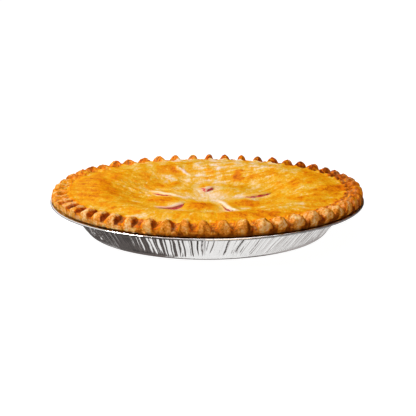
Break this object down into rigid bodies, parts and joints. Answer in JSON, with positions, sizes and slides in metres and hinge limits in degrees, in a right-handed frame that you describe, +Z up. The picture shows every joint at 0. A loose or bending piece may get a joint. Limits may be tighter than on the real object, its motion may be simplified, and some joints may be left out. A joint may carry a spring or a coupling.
{
  "type": "rhubarb strawberry pie in a foil pan",
  "caption": "Round double-crust fruit pie with a crimped rim and star-cut vents, in its shallow pleated foil pan with a rolled edge.",
  "frame": {"origin": "centre of the pan's underside, on the surface the pie stands on", "axes": "+Z up out of the pie, -Y towards the front, +X to the right"},
  "size_m": [0.232, 0.232, 0.0346],
  "materials": {
    "foil": "bright pressed aluminium foil, pleated on the wall and smooth on the base",
    "pastry": "glazed shortcrust, golden on the lid, pale tan on the rim's face and browned in the crimps",
    "fruit": "glossy set red fruit filling"
  },
  "bodies": {
    "root": {"foil_pan": "foil", "pastry_crust": "pastry", "fruit_filling": "fruit"}
  },
  "joints": []
}
